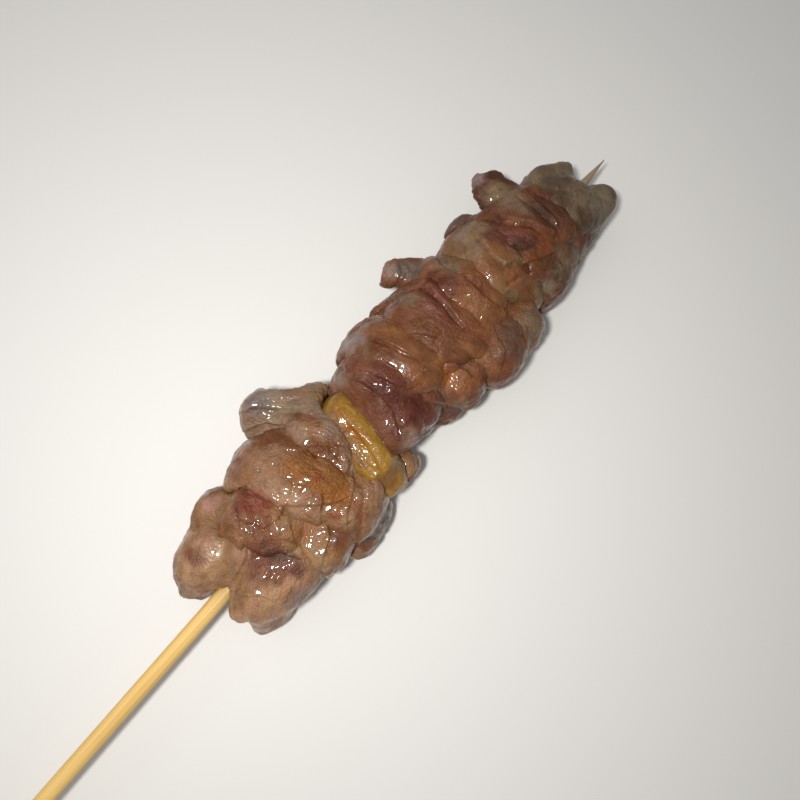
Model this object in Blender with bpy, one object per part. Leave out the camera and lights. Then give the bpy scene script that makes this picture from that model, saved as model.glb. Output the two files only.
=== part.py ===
"""A grilled meat kebab lying down: slices of meat and one piece of yellow pepper on a round bamboo stick.

The stick lies along X with its point at +X. Every slice is one closed solid with a hole for the stick.
Lengths are written in millimetres and turned into metres by MM.
"""

import math
from dataclasses import dataclass

import bmesh
import bpy
from mathutils import Euler, Matrix, Vector

MM = 0.001

# The stick
STICK_LENGTH = 250 * MM
STICK_RADIUS = 2.0 * MM
STICK_SIDES = 16
STICK_HEIGHT = 13 * MM
POINT_AT = 158.4 * MM
POINT_TAPER = 20 * MM
POINT_SHOULDER = 8.5 * MM
SHOULDER_RADIUS = 1.05 * MM
POINT_RADIUS = 0.15 * MM
END_ROUNDING = 0.6 * MM

# How the food is shaped and fitted
GAP = 0.32 * MM
LOBE_DETAIL = 4
MELD_SIZE = 1.0 * MM
MELD_SMOOTHING = 4
LUMP_SIZE = 8 * MM
LUMP_HEIGHT = 2.2 * MM
SLICE_TRIANGLES = 600
PEPPER_TRIANGLES = 320


@dataclass
class Lobe:
    """A rounded block.

    at and half are along the stick, to its left and up, and turn is about X, Y and Z in degrees.
    blunt says how square it is along, left and up: 1 for an ellipsoid, down towards 0 for a box.
    """

    at: tuple
    half: tuple
    turn: tuple = (0, 0, 0)
    blunt: tuple = (0.5, 0.8, 0.8)


BALL = (0.95, 0.95, 0.95)
ROUND = (0.75, 0.8, 0.8)
LEAF = (0.6, 0.6, 0.6)
SQUARE = (0.4, 0.5, 0.5)
BOX = (0.3, 0.35, 0.5)
POINTED = (1.6, 0.85, 0.9)

# Each slice's lobes, in millimetres from where the food starts on the stick. The stick is 13 up.
# A slice that comes first here keeps its form, and the later ones are cut back from it.
SLICES = {
    "pepper": [
        Lobe((51.0, 5.3, 14.5), (5.2, 8.3, 11.3), (0, -10, -8), SQUARE),
        Lobe((48.9, -4.0, 14.5), (5.2, 9.0, 11.2), (0, -8, -14), SQUARE),
        Lobe((47.2, -11.4, 12.5), (5.0, 6.2, 9.5), (0, -6, -20), LEAF),
    ],
    "meat_01": [
        Lobe((3.8, 8.6, 10.0), (9.0, 8.8, 12.0), (0, 0, 10), BALL),
        Lobe((-3.4, 8.2, 6.0), (4.4, 6.0, 7.0), (0, 0, 0), ROUND),
        Lobe((10.5, -8.0, 11.5), (12.6, 8.2, 12.5), (0, -4, -8), ROUND),
        Lobe((1.8, -11.4, 6.5), (4.8, 4.8, 8.0), (0, 0, -25), ROUND),
        Lobe((9.5, 2.0, 11.0), (5.0, 9.0, 11.5), (0, 0, 0), ROUND),
    ],
    "meat_02": [
        Lobe((19.5, 3.0, 13.0), (7.8, 12.5, 12.5), (0, -8, 18)),
        Lobe((12.0, 14.4, 12.0), (5.0, 5.4, 7.5), (0, 0, 30), LEAF),
        Lobe((17.0, 7.5, 20.0), (5.8, 6.0, 5.8), (0, 0, 15), ROUND),
        Lobe((24.0, -9.6, 11.5), (7.6, 8.0, 12.0), (0, 0, 12)),
    ],
    "meat_03": [
        Lobe((31.5, 4.5, 14.0), (10.0, 15.0, 13.5), (0, -6, 12), ROUND),
        Lobe((27.0, 13.0, 11.5), (7.8, 8.2, 13.0), (0, 0, 14), ROUND),
        Lobe((35.5, -9.8, 13.0), (8.0, 7.8, 12.0), (0, 0, 24)),
        Lobe((34.2, -16.8, 5.5), (8.2, 3.2, 6.5), (14, 0, 16), LEAF),
    ],
    "meat_04": [
        Lobe((42.0, 6.0, 13.0), (7.6, 13.5, 12.5), (0, 0, -14)),
        Lobe((41.3, 21.2, 15.5), (3.6, 8.8, 4.6), (0, 10, 38), LEAF),
        Lobe((47.4, 14.4, 11.0), (5.4, 5.4, 8.0), (0, 0, -20), LEAF),
        Lobe((38.0, 17.5, 10.0), (5.2, 7.4, 7.4), (0, 0, 16), LEAF),
    ],
    "meat_05": [
        Lobe((53.6, -2.0, 9.5), (3.9, 11.5, 9.5), (0, -8, -10)),
        Lobe((50.2, -12.8, 9.0), (5.0, 4.6, 8.5), (0, 0, -15), ROUND),
    ],
    "meat_06": [
        Lobe((62.0, 4.5, 13.0), (7.6, 12.5, 14.5), (0, 0, 8)),
        Lobe((58.6, -2.6, 14.5), (5.6, 8.6, 11.0), (0, 0, -12), LEAF),
        Lobe((66.2, -4.8, 12.0), (6.6, 7.4, 12.0), (0, 0, 28)),
        Lobe((73.2, -11.4, 9.5), (5.0, 3.8, 5.5), (0, 0, 25), LEAF),
        Lobe((60.5, -8.2, 6.5), (3.8, 3.6, 7.0), (0, 0, 0), ROUND),
    ],
    "meat_07": [
        Lobe((71.0, 5.5, 14.0), (9.6, 14.0, 13.0), (0, 4, 18)),
        Lobe((68.6, 15.6, 9.5), (5.4, 5.0, 11.0), (0, 0, 16), LEAF),
        Lobe((80.4, -9.4, 12.0), (7.5, 7.2, 11.8), (0, 0, 24)),
    ],
    "meat_08": [
        Lobe((84.4, 3.0, 14.5), (10.8, 15.0, 13.5), (0, -5, 14)),
        Lobe((92.0, -11.8, 12.5), (9.2, 8.2, 12.0), (0, 0, 18), ROUND),
        Lobe((82.0, 17.6, 11.5), (5.8, 2.2, 3.4), (0, 0, -14), LEAF),
    ],
    "meat_09": [
        Lobe((95.5, 3.5, 14.8), (7.0, 14.0, 13.0), (0, -10, 6)),
        Lobe((92.8, 17.6, 17.5), (2.4, 9.4, 3.2), (0, 8, 40), SQUARE),
        Lobe((97.0, 10.5, 21.5), (2.8, 7.5, 5.0), (-14, 8, 36), LEAF),
        Lobe((99.6, -11.0, 11.5), (7.8, 8.0, 11.5), (0, 0, -8)),
    ],
    "meat_10": [
        Lobe((106.6, 4.5, 13.0), (8.2, 13.5, 14.5), (0, 6, -6)),
        Lobe((108.0, -6.6, 11.0), (7.4, 7.5, 11.5), (0, 0, 10)),
    ],
    "meat_11": [
        Lobe((116.4, 3.0, 14.0), (9.6, 13.0, 13.0), (0, 0, -10)),
        Lobe((112.8, 14.6, 15.0), (2.8, 6.4, 3.8), (0, 0, 20), LEAF),
        Lobe((119.5, -8.8, 11.5), (9.8, 6.6, 11.5), (0, 0, 12)),
    ],
    "meat_12": [
        Lobe((126.2, 1.5, 13.0), (7.2, 12.5, 12.5), (0, -6, 4)),
        Lobe((126.6, 8.0, 15.2), (6.3, 17.6, 3.0), (0, -6, 2), POINTED),
        Lobe((128.8, -9.0, 10.0), (7.2, 5.4, 10.0), (0, 0, 8)),
    ],
    "meat_13": [
        Lobe((134.4, -1.0, 11.5), (7.0, 11.0, 13.0), (0, 0, 6)),
        Lobe((138.3, 6.6, 12.5), (6.2, 5.6, 8.0), (0, 0, -43), BOX),
        Lobe((142.0, -7.4, 10.0), (7.6, 4.6, 10.0), (0, 0, 8), LEAF),
    ],
}

# Base colour and roughness of each piece's material
BAMBOO = ((0.72, 0.50, 0.22), 0.55)
YELLOW_PEPPER = ((0.42, 0.23, 0.035), 0.30)
TAN_MEAT = ((0.36, 0.19, 0.10), 0.35)
RED_MEAT = ((0.21, 0.07, 0.035), 0.30)
DARK_MEAT = ((0.13, 0.075, 0.05), 0.40)
LOOKS = {
    "skewer": BAMBOO,
    "pepper": YELLOW_PEPPER,
    **{f"meat_{number:02}": TAN_MEAT for number in (1, 2, 3, 10)},
    **{f"meat_{number:02}": RED_MEAT for number in (6, 7, 8, 9, 11)},
    **{f"meat_{number:02}": DARK_MEAT for number in (4, 5, 12, 13)},
}


def clear_scene():
    for thing in list(bpy.data.objects):
        bpy.data.objects.remove(thing)


def give_material(thing):
    colour, roughness = LOOKS[thing.name]
    made = bpy.data.materials.new(thing.name)
    made.use_nodes = True
    shader = made.node_tree.nodes["Principled BSDF"]
    shader.inputs["Base Color"].default_value = (*colour, 1)
    shader.inputs["Roughness"].default_value = roughness
    thing.data.materials.clear()
    thing.data.materials.append(made)


def new_object(name, bm):
    mesh = bpy.data.meshes.new(name)
    bm.to_mesh(mesh)
    bm.free()
    thing = bpy.data.objects.new(name, mesh)
    bpy.context.scene.collection.objects.link(thing)
    return thing


def applied(thing):
    """The object with its modifiers applied to its mesh."""
    graph = bpy.context.evaluated_depsgraph_get()
    mesh = bpy.data.meshes.new_from_object(thing.evaluated_get(graph))
    thing.modifiers.clear()
    thing.data = mesh
    return thing


def stick_profile(grow):
    """(place along the stick, radius) from the blunt end to the point, with grow added all round."""
    blunt = POINT_AT - STICK_LENGTH
    return [
        (blunt - grow, 0),
        (blunt - grow, STICK_RADIUS - END_ROUNDING + grow),
        (blunt + END_ROUNDING - grow, STICK_RADIUS + grow),
        (POINT_AT - POINT_TAPER, STICK_RADIUS + grow),
        (POINT_AT - POINT_SHOULDER, SHOULDER_RADIUS + grow),
        (POINT_AT + grow, POINT_RADIUS + grow),
        (POINT_AT + grow, 0),
    ]


def stick(name, grow=0.0):
    bm = bmesh.new()
    outline = [bm.verts.new((along, radius, 0)) for along, radius in stick_profile(grow)]
    edges = [bm.edges.new(pair) for pair in zip(outline, outline[1:])]
    bmesh.ops.spin(
        bm, geom=outline + edges, cent=(0, 0, 0), axis=(1, 0, 0),
        angle=math.tau, steps=STICK_SIDES, use_merge=True,
    )
    bmesh.ops.remove_doubles(bm, verts=bm.verts, dist=0.01 * MM)
    bmesh.ops.translate(bm, verts=bm.verts, vec=(0, 0, STICK_HEIGHT))
    bmesh.ops.recalc_face_normals(bm, faces=bm.faces)
    return new_object(name, bm)


def add_lobe(bm, lobe):
    """A ball pushed out towards a box, sized, turned and put in its place."""
    ball = bmesh.ops.create_icosphere(bm, subdivisions=LOBE_DETAIL, radius=1)["verts"]
    half = Vector(lobe.half) * MM
    turn = Euler([math.radians(angle) for angle in lobe.turn]).to_matrix()
    place = Vector(lobe.at) * MM
    for vert in ball:
        squared = Vector([math.copysign(abs(c) ** power, c) for c, power in zip(vert.co, lobe.blunt)])
        vert.co = turn @ Vector([c * size for c, size in zip(squared, half)]) + place


def meld(thing, triangles, lumps):
    """Joins overlapping lobes into one smooth skin, makes it lumpy and gives it few faces."""
    join = thing.modifiers.new("join", "REMESH")
    join.mode = "VOXEL"
    join.voxel_size = MELD_SIZE
    soften = thing.modifiers.new("soften", "SMOOTH")
    soften.iterations = MELD_SMOOTHING
    swell = thing.modifiers.new("lumps", "DISPLACE")
    swell.texture = lumps
    swell.texture_coords = "GLOBAL"
    swell.strength = LUMP_HEIGHT
    applied(thing)
    fewer = thing.modifiers.new("fewer", "DECIMATE")
    fewer.ratio = triangles / (2 * len(thing.data.polygons))
    fewer.use_collapse_triangulate = True
    return applied(thing)


def set_on_floor(thing):
    """Cuts off what would be below the floor, which leaves a flat foot."""
    bm = bmesh.new()
    bm.from_mesh(thing.data)
    everything = bm.verts[:] + bm.edges[:] + bm.faces[:]
    bmesh.ops.bisect_plane(bm, geom=everything, plane_co=(0, 0, 0), plane_no=(0, 0, 1), clear_inner=True)
    rim = [edge for edge in bm.edges if edge.is_boundary]
    bmesh.ops.holes_fill(bm, edges=rim, sides=0)
    bmesh.ops.triangulate(bm, faces=bm.faces)
    bm.to_mesh(thing.data)
    bm.free()


def swollen(thing):
    """A copy that is larger all round by the gap, to cut its neighbour with."""
    cutter = bpy.data.objects.new(thing.name + "_room", thing.data.copy())
    bpy.context.scene.collection.objects.link(cutter)
    grow = cutter.modifiers.new("grow", "DISPLACE")
    grow.strength = GAP
    grow.mid_level = 0
    return applied(cutter)


def corners(thing):
    """Lowest and highest corner."""
    points = [vert.co for vert in thing.data.vertices]
    return Vector(map(min, zip(*points))), Vector(map(max, zip(*points)))


def near(first, second):
    low_1, high_1 = corners(first)
    low_2, high_2 = corners(second)
    return all(a < b + GAP and c < d + GAP for a, b, c, d in zip(low_1, high_2, low_2, high_1))


def islands(bm):
    """The separate bodies of a mesh, each as a set of faces."""
    left = set(bm.faces)
    found = []
    while left:
        body = set()
        edge_of_search = [left.pop()]
        while edge_of_search:
            face = edge_of_search.pop()
            body.add(face)
            beside = {other for edge in face.edges for other in edge.link_faces} & left
            left -= beside
            edge_of_search.extend(beside)
        found.append(body)
    return found


def drop_scraps(thing):
    """Keeps only the largest body that the cuts have left."""
    bm = bmesh.new()
    bm.from_mesh(thing.data)
    bodies = sorted(islands(bm), key=lambda body: sum(face.calc_area() for face in body))
    scraps = [face for body in bodies[:-1] for face in body]
    if scraps:
        bmesh.ops.delete(bm, geom=scraps, context="FACES")
    bm.to_mesh(thing.data)
    bm.free()


def cut(thing, cutter):
    away = thing.modifiers.new("fit", "BOOLEAN")
    away.operation = "DIFFERENCE"
    away.solver = "EXACT"
    away.use_self = True
    away.object = cutter
    applied(thing)
    drop_scraps(thing)


def lump_texture():
    lumps = bpy.data.textures.new("lumps", "CLOUDS")
    lumps.noise_scale = LUMP_SIZE
    lumps.noise_depth = 1
    return lumps


def food(name, lobes, lumps):
    bm = bmesh.new()
    for lobe in lobes:
        add_lobe(bm, lobe)
    piece = new_object(name, bm)
    meld(piece, PEPPER_TRIANGLES if name == "pepper" else SLICE_TRIANGLES, lumps)
    set_on_floor(piece)
    return piece


def fit_together(pieces, room_for_stick):
    """Cuts each slice back from those before it and from the stick, which leaves a thin gap all round."""
    fitted = []
    for piece in pieces:
        for cutter, owner in fitted:
            if near(piece, owner):
                cut(piece, cutter)
        fitted.append((swollen(piece), piece))
    for piece in pieces:
        cut(piece, room_for_stick)
    for cutter, _ in fitted:
        bpy.data.objects.remove(cutter)
    bpy.data.objects.remove(room_for_stick)


def stand_on_origin(things):
    """Moves everything so that the middle of the underside of its box is at the origin."""
    boxes = [corners(thing) for thing in things]
    low = Vector(map(min, zip(*[box[0] for box in boxes])))
    high = Vector(map(max, zip(*[box[1] for box in boxes])))
    shift = Matrix.Translation(-Vector(((low.x + high.x) / 2, (low.y + high.y) / 2, low.z)))
    for thing in things:
        thing.data.transform(shift)


def main():
    clear_scene()
    lumps = lump_texture()
    pieces = [food(name, lobes, lumps) for name, lobes in SLICES.items()]
    fit_together(pieces, stick("room_for_stick", GAP))
    skewer = stick("skewer")
    stand_on_origin([skewer, *pieces])
    skewer.data.shade_smooth()
    for thing in (skewer, *pieces):
        give_material(thing)


main()
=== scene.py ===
# %% [markdown]
# # A grilled kebab on a bamboo stick
# Thirteen slices of meat and a piece of yellow pepper are pressed together on a round stick.
# The measured model already has every slice as a closed solid, with its size and place.
# Here each solid gets a wet, wrinkled skin, cooked colours and oil, and the stick gets its grain.

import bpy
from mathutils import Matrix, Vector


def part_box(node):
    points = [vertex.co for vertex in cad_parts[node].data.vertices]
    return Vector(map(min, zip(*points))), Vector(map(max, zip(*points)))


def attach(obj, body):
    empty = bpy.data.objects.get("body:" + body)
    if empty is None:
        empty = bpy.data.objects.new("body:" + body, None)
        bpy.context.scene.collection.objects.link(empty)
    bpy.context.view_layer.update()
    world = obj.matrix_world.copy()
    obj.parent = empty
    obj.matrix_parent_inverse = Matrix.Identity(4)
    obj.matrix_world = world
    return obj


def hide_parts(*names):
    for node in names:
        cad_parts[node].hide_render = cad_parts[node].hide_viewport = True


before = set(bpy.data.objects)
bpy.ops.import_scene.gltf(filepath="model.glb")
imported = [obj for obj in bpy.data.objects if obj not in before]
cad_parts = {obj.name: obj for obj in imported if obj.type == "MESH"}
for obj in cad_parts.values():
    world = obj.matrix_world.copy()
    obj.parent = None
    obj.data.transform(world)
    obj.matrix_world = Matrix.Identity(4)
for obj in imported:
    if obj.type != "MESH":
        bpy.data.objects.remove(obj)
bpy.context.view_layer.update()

# %% The other modules and the units
from dataclasses import dataclass
from math import cos, degrees, radians, sin, tau

import bmesh
import bpy
import numpy as np
from mathutils import Matrix, Vector
from mathutils.bvhtree import BVHTree

MM = 0.001
POINT_ALONG = 158.4
SLICE_NAMES = [f"meat_{number:02}" for number in range(1, 14)]

# %% [markdown]
# ## Places along the stick
# A cook would say "two fingers up the stick, a little to the left", so places are written that way:
# millimetres along the stick from where the food starts, to its left, and up from the table.

# %% A place given along the stick, to its left and up
stick_low, stick_high = (Vector(corner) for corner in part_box("skewer"))
STICK_UP = (stick_low.z + stick_high.z) / 2
FOOD_START = Vector((stick_high.x - POINT_ALONG * MM, (stick_low.y + stick_high.y) / 2, 0))


def place(along, left, up):
    return FOOD_START + Vector((along, left, up)) * MM


def add_object(name, data):
    made = bpy.data.objects.new(name, data)
    bpy.context.scene.collection.objects.link(made)
    return made


print("food starts at", [round(c * 1000, 1) for c in FOOD_START])

# %% [markdown]
# ## The camera
# The picture was taken from about a hand's length above the kebab, almost straight down, and is turned.
# Three angles say all of that: how far it leans from straight down, where it heads, and its turn.

# %% Camera
CAMERA_PLACE = place(34.8, -3.0, 182.0)
CAMERA_LEAN = radians(10.0)
CAMERA_HEADING = radians(3.4)
PICTURE_TURN = radians(37.7)
PICTURE_SIDE = 800
LENS = 28.8
SENSOR = 36.0

looking = Vector(
    (sin(CAMERA_LEAN) * cos(CAMERA_HEADING), sin(CAMERA_LEAN) * sin(CAMERA_HEADING), -cos(CAMERA_LEAN))
)
level = looking.cross(Vector((0, 0, 1))).normalized()
picture_right = level * cos(PICTURE_TURN) + level.cross(looking) * sin(PICTURE_TURN)
picture_up = picture_right.cross(looking)

camera_data = bpy.data.cameras.new("camera")
camera_data.lens = LENS
camera_data.sensor_width = SENSOR
camera_data.clip_start = 0.01
camera = add_object("camera", camera_data)
camera_turn = Matrix((picture_right, picture_up, -looking)).transposed().to_4x4()
camera.matrix_world = Matrix.Translation(CAMERA_PLACE) @ camera_turn
bpy.context.scene.camera = camera
print("camera is", round(CAMERA_PLACE.z * 1000), "mm up, leaning", round(degrees(CAMERA_LEAN)), "degrees")

# %% [markdown]
# ## Table and light
# A large soft lamp and the room's even light fill the shadows. A small lamp near the camera makes the sparks
# of light that wet meat shows, because a small lamp has small, sharp reflections.

# %% Table
TABLE_HALF = 1.5
TABLE_COLOUR = (0.78, 0.77, 0.755, 1)
TABLE_ROUGHNESS = 0.6


def table_top():
    bm = bmesh.new()
    bmesh.ops.create_grid(bm, x_segments=1, y_segments=1, size=TABLE_HALF)
    mesh = bpy.data.meshes.new("table_top")
    bm.to_mesh(mesh)
    bm.free()
    top = add_object("table_top", mesh)
    paper = bpy.data.materials.new("pale_table")
    paper.use_nodes = True
    shader = paper.node_tree.nodes["Principled BSDF"]
    shader.inputs["Base Color"].default_value = TABLE_COLOUR
    shader.inputs["Roughness"].default_value = TABLE_ROUGHNESS
    mesh.materials.append(paper)
    return top


table_top()

# %% Lamps and room
FOOD_MIDDLE = place(75, 0, 12)
ROOM_COLOUR = (1.0, 0.985, 0.96, 1)
ROOM_LIGHT = 0.24


def lamp(name, where, size, power, colour=(1, 1, 1)):
    data = bpy.data.lights.new(name, "AREA")
    data.shape = "DISK"
    data.size = size
    data.energy = power
    data.color = colour
    aim = (FOOD_MIDDLE - where).to_track_quat("-Z", "Y").to_matrix().to_4x4()
    add_object(name, data).matrix_world = Matrix.Translation(where) @ aim


lamp("soft_lamp", FOOD_MIDDLE + Vector((-0.10, 0.34, 0.62)), 0.90, 1.0)
lamp("spark_lamp", place(0, 20, 232), 0.021, 0.48, (1.0, 0.98, 0.94))

room = bpy.data.worlds.new("room")
room.use_nodes = True
room.node_tree.nodes["Background"].inputs["Color"].default_value = ROOM_COLOUR
room.node_tree.nodes["Background"].inputs["Strength"].default_value = ROOM_LIGHT
bpy.context.scene.world = room
bpy.context.scene.view_settings.view_transform = "Standard"
print("two lamps and a room")

# %% [markdown]
# ## A way to write materials as sums
# Node graphs get long. A small class wraps a socket, so that `1 - mask * 0.5` adds the Math nodes itself.
# Every other node comes from one method: its settings first, then the values or links of its sockets.


# %% Shader maths
# Sockets of a Mix node that mixes colours, by number, because their names repeat
MIX_AMOUNT, MIX_FIRST, MIX_SECOND = 0, 6, 7
MIX_COLOUR_OUT = 2


class Wire:
    """A number socket of a material. Arithmetic on it adds Math nodes."""

    def __init__(self, recipe, socket):
        self.recipe = recipe
        self.socket = socket

    def maths(self, operation, *values):
        return self.recipe.node("ShaderNodeMath", {"operation": operation}, dict(enumerate(values)))

    def __add__(self, other):
        return self.maths("ADD", self, other)

    def __sub__(self, other):
        return self.maths("SUBTRACT", self, other)

    def __rsub__(self, other):
        return self.maths("SUBTRACT", other, self)

    def __mul__(self, other):
        return self.maths("MULTIPLY", self, other)

    __radd__ = __add__
    __rmul__ = __mul__

    def between(self, low, high):
        """0 below low, 1 above high, and a soft step between them."""
        settings = {"interpolation_type": "SMOOTHSTEP"}
        values = {"Value": self, "From Min": low, "From Max": high}
        return self.recipe.node("ShaderNodeMapRange", settings, values)


class Recipe:
    """A material being made."""

    def __init__(self, name):
        self.material = bpy.data.materials.new(name)
        self.material.use_nodes = True
        self.tree = self.material.node_tree
        self.shader = self.tree.nodes["Principled BSDF"]
        self.object_place = self.node("ShaderNodeTexCoord", {}, {}, "Object")

    def node(self, kind, settings, values, output=0):
        made = self.tree.nodes.new(kind)
        for setting, value in settings.items():
            setattr(made, setting, value)
        self.fill(made, values)
        return Wire(self, made.outputs[output])

    def fill(self, made, values):
        for socket, value in values.items():
            if isinstance(value, Wire):
                self.tree.links.new(value.socket, made.inputs[socket])
            else:
                made.inputs[socket].default_value = value

    def noise(self, size, turn=(0, 0, 0), detail=2.0, roughness=0.5):
        """Noise with lumps of that size along X, Y and Z, turned by those angles."""
        values = {"Vector": self.object_place, "Rotation": turn, "Scale": size}
        spread = self.node("ShaderNodeMapping", {"vector_type": "TEXTURE"}, values)
        values = {"Vector": spread, "Scale": 1.0, "Detail": detail, "Roughness": roughness}
        return self.node("ShaderNodeTexNoise", {}, values)

    def mix(self, amount, first, second, blend="MIX"):
        settings = {"data_type": "RGBA", "blend_type": blend}
        values = {MIX_AMOUNT: amount, MIX_FIRST: first, MIX_SECOND: second}
        return self.node("ShaderNodeMix", settings, values, MIX_COLOUR_OUT)

    def painted(self, attribute, output="Color"):
        return self.node("ShaderNodeAttribute", {"attribute_name": attribute}, {}, output)

    def bump(self, height, depth):
        return self.node("ShaderNodeBump", {}, {"Height": height, "Distance": depth, "Strength": 1.0})

    def shade(self, **sockets):
        self.fill(self.shader, {name.replace("_", " "): value for name, value in sockets.items()})
        return self.material


def colour(red, green, blue):
    """A colour from 0 to 255, as a camera shows it, turned into an amount of light."""
    shares = np.array([red, green, blue]) / 255
    return np.where(shares <= 0.04045, shares / 12.92, ((shares + 0.055) / 1.055) ** 2.4)


print("recipe ready")

# %% [markdown]
# ## Skin from a solid
# The solid is coarse, so its copy is first made of even squares with a voxel remesh, smoothed and
# subdivided. That gives about three points for each millimetre, enough for wrinkles and fibres.

# %% Even skin
VOXEL = 1.15 * MM
SKIN_SMOOTHING = 3


def finished(piece):
    """The piece with its modifiers applied."""
    graph = bpy.context.evaluated_depsgraph_get()
    mesh = bpy.data.meshes.new_from_object(piece.evaluated_get(graph))
    piece.modifiers.clear()
    piece.data = mesh
    return piece


def even_skin(name, node, voxel=VOXEL, smoothing=SKIN_SMOOTHING):
    bm = bmesh.new()
    bm.from_mesh(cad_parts[node].data)
    bmesh.ops.remove_doubles(bm, verts=bm.verts, dist=0.002 * MM)
    mesh = bpy.data.meshes.new(name)
    bm.to_mesh(mesh)
    bm.free()
    piece = add_object(name, mesh)
    squares = piece.modifiers.new("squares", "REMESH")
    squares.mode = "VOXEL"
    squares.voxel_size = voxel
    soft = piece.modifiers.new("soft", "SMOOTH")
    soft.iterations = smoothing
    fine = piece.modifiers.new("fine", "SUBSURF")
    fine.levels = fine.render_levels = 2
    return finished(piece)


skins = {name: even_skin(name.replace("meat", "slice"), name) for name in SLICE_NAMES}
print("skins have", sum(len(skin.data.vertices) for skin in skins.values()), "points")

# %% [markdown]
# ## Finding a place in the picture
# Stains and folds are read from the picture, in its 800 pixels. A ray from the camera through that
# pixel meets a skin, and from then on the mark belongs to that place on the meat, from any side.

# %% From a pixel to a place on the skin
FOCAL_PIXELS = PICTURE_SIDE * LENS / SENSOR
graph = bpy.context.evaluated_depsgraph_get()
trees = {name: BVHTree.FromObject(skin, graph) for name, skin in skins.items()}


def picture_ray(across, down):
    """The way from the camera through a pixel."""
    right = picture_right * (across - PICTURE_SIDE / 2) / FOCAL_PIXELS
    up = picture_up * (PICTURE_SIDE / 2 - down) / FOCAL_PIXELS
    return (looking + right + up).normalized()


def seen(across, down):
    """The place on a skin that shows at that pixel. Where none does, it is level with the stick."""
    ray = picture_ray(across, down)
    hits = [tree.ray_cast(CAMERA_PLACE, ray) for tree in trees.values()]
    hits = [hit for hit in hits if hit[0] is not None]
    if not hits:
        return CAMERA_PLACE + ray * ((STICK_UP - CAMERA_PLACE.z) / ray.z)
    return min(hits, key=lambda hit: hit[3])[0]


print("middle of the picture is at", [round(c * 1000) for c in seen(PICTURE_SIDE / 2, PICTURE_SIDE / 2)])

# %% [markdown]
# ## Wrinkles, fibres and folds
# Meat is a bundle of fibres. Cooked slices shrink unevenly, so the skin has lumps, then wrinkles, then
# fine fibres that run one way in each slice. Noise makes all three, stretched along the fibres.

# %% Noise for points
NOISE_CELLS = 48
noise_table = np.random.default_rng(7).uniform(-1, 1, (NOISE_CELLS,) * 3)


def noise_at(points, size, seed=0):
    """Smooth noise from -1 to 1 at each point. size is the lumps' size, along X, Y and Z or all ways."""
    spread = points / np.asarray(size) + seed * 17.31
    cell = np.floor(spread).astype(int)
    part = spread - cell
    part = part * part * (3 - 2 * part)
    total = np.zeros(len(points))
    for corner in np.ndindex(2, 2, 2):
        share = np.prod(np.where(corner, part, 1 - part), axis=1)
        index = (cell + corner) % NOISE_CELLS
        total += share * noise_table[index[:, 0], index[:, 1], index[:, 2]]
    return total


# %% Points and distances
def points_of(piece):
    flat = np.empty(len(piece.data.vertices) * 3)
    piece.data.vertices.foreach_get("co", flat)
    return flat.reshape(-1, 3)


def directions_of(piece):
    flat = np.empty(len(piece.data.vertices) * 3)
    piece.data.vertices.foreach_get("normal", flat)
    return flat.reshape(-1, 3)


def move_points(piece, points):
    piece.data.vertices.foreach_set("co", points.ravel())
    piece.data.update()


def distance_to(points, route):
    """How far each point is from a line through the places of a route, and on which side, 1 for its left."""
    nearest = np.full(len(points), np.inf)
    side = np.ones(len(points))
    route = [np.array(spot) for spot in route]
    if len(route) == 1:
        route = route * 2
    for start, end in zip(route, route[1:]):
        run = end - start
        share = np.clip((points - start) @ run / max(run @ run, 1e-12), 0, 1)
        away = points - start - share[:, None] * run
        far = np.linalg.norm(away, axis=1)
        closer = far < nearest
        nearest[closer] = far[closer]
        side[closer] = np.sign(run[0] * away[closer, 1] - run[1] * away[closer, 0])
    return nearest, side


def near_route(points, route, reach):
    """Which points lie in the box round a route, widened by reach."""
    spots = np.array(route)
    return np.all((points > spots.min(axis=0) - reach) & (points < spots.max(axis=0) + reach), axis=1)


# %% [markdown]
# ## What the picture shows on each slice
# Every slice has the way its fibres run, its own ground colour, and how strongly it is wrinkled.
# A fold is an edge of meat that lies over its neighbour. A stain is browned, charred, fatty or red, and a few
# stains are painted sheen and painted highlights.

# %% Cooked colours
MEAT_SHARE = np.array([0.82, 0.79, 0.70])


def meat(red, green, blue):
    """Paint for meat that shows as this colour once light has spread in it and in the oil on top."""
    return colour(red, green, blue) * MEAT_SHARE


TAN = meat(173, 134, 107)
ROSE_TAN = meat(151, 114, 90)
PINK = meat(168, 122, 118)
LIGHT_BROWN = meat(146, 108, 79)
SAND = meat(160, 126, 96)
OLIVE = meat(130, 104, 78)
BROWN = meat(126, 80, 48)
RED_BROWN = meat(116, 71, 48)
DEEP_RED_BROWN = meat(100, 58, 30)
DARK_RED = meat(122, 58, 44)
MAROON = meat(108, 61, 51)
DEEP_MAROON = meat(87, 40, 28)
DARK_BROWN = meat(84, 52, 38)
DEEP_BROWN = meat(109, 62, 20)
CHAR = meat(44, 32, 32)
GREY_BROWN = meat(142, 120, 106)
PALE_GREY_BROWN = meat(150, 120, 100)
OLIVE_GREY = meat(116, 100, 84)
# Olive with a painted sheen: a haze of reflected light painted into the meat's colour
SHEEN_HAZE_OLIVE = meat(122, 110, 96)
DIM_GREY = meat(118, 106, 108)
# Pale grey-pink painted sheen: a haze of reflected light painted into the meat's colour
SHEEN_HAZE = meat(150, 130, 132)
SLATE = meat(100, 86, 83)
AMBER = meat(136, 84, 28)
ORANGE = meat(150, 90, 40)
RUST = meat(134, 68, 38)
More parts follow.
